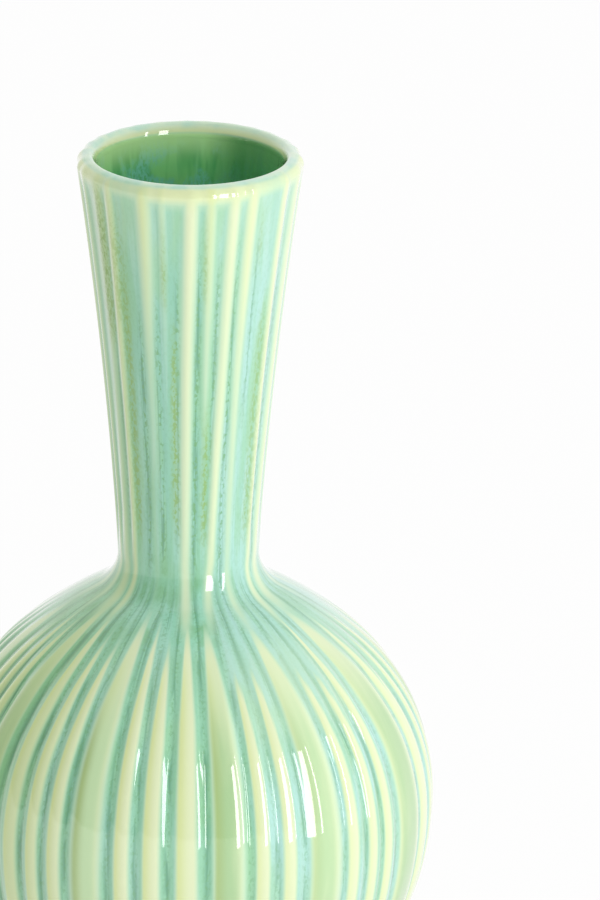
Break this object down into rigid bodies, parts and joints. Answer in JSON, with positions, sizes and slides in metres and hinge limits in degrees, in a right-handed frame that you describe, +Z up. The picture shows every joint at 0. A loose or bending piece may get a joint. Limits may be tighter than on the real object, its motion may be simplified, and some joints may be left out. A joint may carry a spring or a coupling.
{
  "type": "bottle vase",
  "caption": "Globular bottle vase of glazed stoneware with rounded vertical flutes, a long flared neck and a thick round lip, for flower stems.",
  "frame": {"origin": "centre of the foot ring's standing face, on the vase's axis", "axes": "+Z up along the vase's axis to the mouth, front of the picture towards -Y, +X to the right"},
  "size_m": [0.14, 0.14, 0.256],
  "materials": {
    "bare_stoneware": "unglazed, turned",
    "bowl_glaze": "gloss, running green glaze that breaks cream on the ribs",
    "shoulder_glaze": "gloss, running green glaze that breaks cream on the ribs",
    "neck_glaze": "gloss, running green glaze, deep green inside",
    "luting_slip": "fired slip, hidden in the joints"
  },
  "bodies": {
    "root": {"foot_ring": "bare_stoneware", "lower_bowl": "bowl_glaze", "upper_bowl": "shoulder_glaze", "neck": "neck_glaze", "foot_slip_joint": "luting_slip", "belly_slip_joint": "luting_slip", "collar_slip_joint": "luting_slip"}
  },
  "joints": []
}
